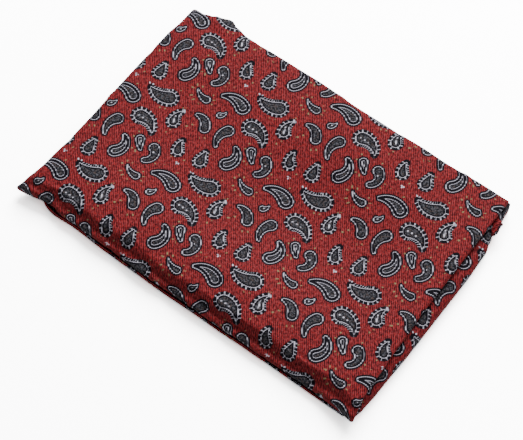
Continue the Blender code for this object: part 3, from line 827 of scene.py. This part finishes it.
def makeRightFold(fold):
    # half ovals from the top ply round the fold to the bottom ply: x by |cos|^roundness of the turn,
    # z by |sin|^roundness, joined from front to back. The top ply starts in under the top layer.
    places = [row[0] for row in fold["sections"]]
    y, share = np.meshgrid(np.linspace(places[0], places[-1], fold["alongSteps"]),
                           np.linspace(0, 1, fold["roundSteps"]), indexing="ij")
    reach = softSteps(y, fold["sections"])
    half = softSteps(y, fold["sections"], 2) / 2
    turn = (0.5 - share) * np.pi
    start = fold["inner"] + fold["ply"]
    nose = np.abs(np.cos(turn)) ** fold["roundness"]
    x = np.where(share == 1, fold["inner"], start + (reach - start) * nose)
    x = np.where(share == 0, fold["inner"] - fold["tuck"], x)
    z = half + half * np.sign(np.sin(turn)) * np.abs(np.sin(turn)) ** fold["roundness"]
    steps = np.hypot(np.diff(x, axis=1), np.diff(z, axis=1))
    around = np.concatenate([np.zeros((len(y), 1)), np.cumsum(steps, axis=1)], axis=1)
    return addShell(addSurface("rightFold", (x, y, z), (around, y), printedSilk, fold["printShift"]))


right = makeRightFold(rightFold)
print("right fold made")


# The rolled corner of the hem

hemCorner = {
    # along Y, how far it stands out past the fold, middle height, half height
    "sections": [(0.0402, 0.0002, 0.0052, 0.0012), (0.0414, 0.0009, 0.0056, 0.0017),
                 (0.0426, 0.0013, 0.0058, 0.002), (0.044, 0.0014, 0.006, 0.0022),
                 (0.0454, 0.0012, 0.0061, 0.002), (0.0466, 0.0013, 0.006, 0.0017),
                 (0.0478, 0.0004, 0.0058, 0.0012)],
    "reachIn": 0.0018,      # how far it lies in over the fold
    "endLong": 0.0008,      # how long its rounded ends are
    "ruffles": 5,
    "ruffleDepth": 0.20,
    "ruffleTwist": 900,     # how fast the ruffles turn along it, in radians to the metre
    "clothRound": 0.0018,   # its radius on the flat cloth
    "alongSteps": 60,
    "roundSteps": 36,
    "printShift": (0.2, 0.1),
}


def makeHemCorner(corner, fold):
    # closed oval rings along Y, with a few soft ruffles: a ring's size goes by
    # 1 + depth * cos(ruffles * turn + twist * length), and by the root of the share at each end.
    # The knot lies over the fold's edge, so only its upper and outer sides show there.
    places = [row[0] for row in corner["sections"]]
    y, turn = np.meshgrid(np.linspace(places[0], places[-1], corner["alongSteps"]),
                          np.linspace(0, 2 * np.pi, corner["roundSteps"], endpoint=False), indexing="ij")
    out, middle, half = [softSteps(y, corner["sections"], column) for column in (1, 2, 3)]
    edge = softSteps(y, fold["sections"])
    ends = np.clip(np.minimum(y - places[0], places[-1] - y) / corner["endLong"], 0, 1) ** 0.5
    wave = np.cos(corner["ruffles"] * turn + corner["ruffleTwist"] * (y - places[0]))
    size = ends * (1 + corner["ruffleDepth"] * wave)
    x = edge + (out - corner["reachIn"]) / 2 + (out + corner["reachIn"]) / 2 * np.cos(turn) * size
    z = middle + half * np.sin(turn) * size
    flat = turn * corner["clothRound"], y
    return addSurface("hemCorner", (x, y, z), flat, printedSilk, corner["printShift"],
                      closedRound=True, turned=True)


corner = makeHemCorner(hemCorner, rightFold)
print("hem corner made")


# The hidden layers, which show as a stack of edges deep in the gaps

innerLayers = {
    "corner": 0.004,
    "bulge": 0.0008,
    "layers": 4,
    "roundSteps": 16,
    "layerSteps": 12,
}


def makeInnerLayers(stack):
    # a rounded oblong whose side draws in between the layers, by bulge * (1 - |sin|) of the height,
    # closed by a point in the middle of its top and of its underside
    low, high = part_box("inner_layers")
    quarter = np.linspace(0, np.pi / 2, stack["roundSteps"])
    turn = np.concatenate([quarter + k * np.pi / 2 for k in range(4)])
    sideX = np.concatenate([np.full(stack["roundSteps"], s) for s in (1, -1, -1, 1)])
    sideY = np.concatenate([np.full(stack["roundSteps"], s) for s in (1, 1, -1, -1)])
    share = np.linspace(0, 1, stack["layers"] * stack["layerSteps"] + 1)[:, None]
    inset = stack["bulge"] * (1 - np.abs(np.sin(np.pi * share * stack["layers"])))
    radius = stack["corner"] - inset
    middle, half = (low + high) / 2, (high - low) / 2
    x = middle.x + sideX * (half.x - stack["corner"]) + radius * np.cos(turn)
    y = middle.y + sideY * (half.y - stack["corner"]) + radius * np.sin(turn)
    z = low.z + (high.z - low.z) * share + 0 * x
    x = np.vstack([np.full_like(x[:1], middle.x), x, np.full_like(x[:1], middle.x)])
    y = np.vstack([np.full_like(y[:1], middle.y), y, np.full_like(y[:1], middle.y)])
    z = np.vstack([z[:1], z, z[-1:]])
    # its cloth is darkened as painted shade deep in the gaps
    return addSurface("innerLayers", (x, y, z), (x, y + z), insideSilk, closedRound=True)


inner = makeInnerLayers(innerLayers)
print("inner layers made")


# Each piece goes under the root body, and the frame's part it stands for is hidden

for piece, node, slotName in (
    (top, "top_panel", "printed_twill"),
    (lower, "bottom_panel", "printed_twill"),
    (right, "right_fold", "printed_twill"),
    (corner, "hem_corner", "rolled_hem"),
    (inner, "inner_layers", "twill_inside"),
):
    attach(piece, "root")
    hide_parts(node)


# Floor, light and camera

studio = {
    "floorSize": 3.0,
    "floorDrop": 0.00015,                   # how far it lies below the cloth
    "floorColour": (0.90, 0.90, 0.90, 1),   # as the cloth sees it
    "floorSeen": (9.0, 9.0, 9.0, 1),        # as the camera sees it, near to white paper
    "floorRoughness": 0.9,
    "worldStrength": 0.22,
    "lamps": [
        dict(name="overheadBack", place=(-0.28, 0.88, 0.94), size=0.85, power=26.6),
        dict(name="overheadFill", place=(0.42, 0.30, 0.90), size=0.7, power=2.2),
    ],
    "cameraPlace": (0.18257, -0.2305, 0.56289),
    "cameraAim": (0.00564, -0.01112, 0.0100),
    "cameraRoll": np.radians(-1.44),
    "lens": 108.08,
    "sensor": 36,
    "clipStart": 0.01,
}


def makeFloor():
    # a plain square a hair below the cloth
    mesh = bpy.data.meshes.new("floor")
    half, level = studio["floorSize"] / 2, -studio["floorDrop"]
    corners = [(x * half, y * half, level) for x, y in ((-1, -1), (1, -1), (1, 1), (-1, 1))]
    mesh.from_pydata(corners, [], [(0, 1, 2, 3)])
    floor = bpy.data.objects.new("floor", mesh)
    bpy.context.scene.collection.objects.link(floor)
    material = bpy.data.materials.new("paleFloor")
    material.use_nodes = True
    tree = material.node_tree
    shader = tree.nodes["Principled BSDF"]
    seen = addNode(tree, "ShaderNodeLightPath", {}, {}).outputs["Is Camera Ray"]
    colour = mixColour(tree, seen, studio["floorColour"], studio["floorSeen"])
    tree.links.new(colour, shader.inputs["Base Color"])
    shader.inputs["Roughness"].default_value = studio["floorRoughness"]
    shader.inputs["Specular IOR Level"].default_value = 0.0
    mesh.materials.append(material)


def makeLights():
    # an even white room, and square lamps that point at the origin
    world = bpy.data.worlds.new("softRoom")
    world.use_nodes = True
    background = world.node_tree.nodes["Background"].inputs
    background["Color"].default_value = (1, 1, 1, 1)
    background["Strength"].default_value = studio["worldStrength"]
    bpy.context.scene.world = world
    for lamp in studio["lamps"]:
        light = bpy.data.lights.new(lamp["name"], "AREA")
        light.size = lamp["size"]
        light.energy = lamp["power"]
        holder = bpy.data.objects.new(lamp["name"], light)
        holder.location = lamp["place"]
        holder.rotation_euler = (-Vector(lamp["place"])).to_track_quat("-Z", "Y").to_euler()
        bpy.context.scene.collection.objects.link(holder)


def makeCamera():
    # it looks from its place to its aim, rolled about that line
    data = bpy.data.cameras.new("camera")
    data.lens = studio["lens"]
    data.sensor_width = studio["sensor"]
    data.sensor_fit = "HORIZONTAL"
    data.clip_start = studio["clipStart"]
    holder = bpy.data.objects.new("camera", data)
    aim = Vector(studio["cameraAim"]) - Vector(studio["cameraPlace"])
    turn = aim.to_track_quat("-Z", "Y").to_matrix().to_4x4() @ Matrix.Rotation(studio["cameraRoll"], 4, "Z")
    holder.matrix_world = Matrix.Translation(studio["cameraPlace"]) @ turn
    bpy.context.scene.collection.objects.link(holder)
    bpy.context.scene.camera = holder


makeFloor()
makeLights()
makeCamera()
print("floor, lights and camera made")
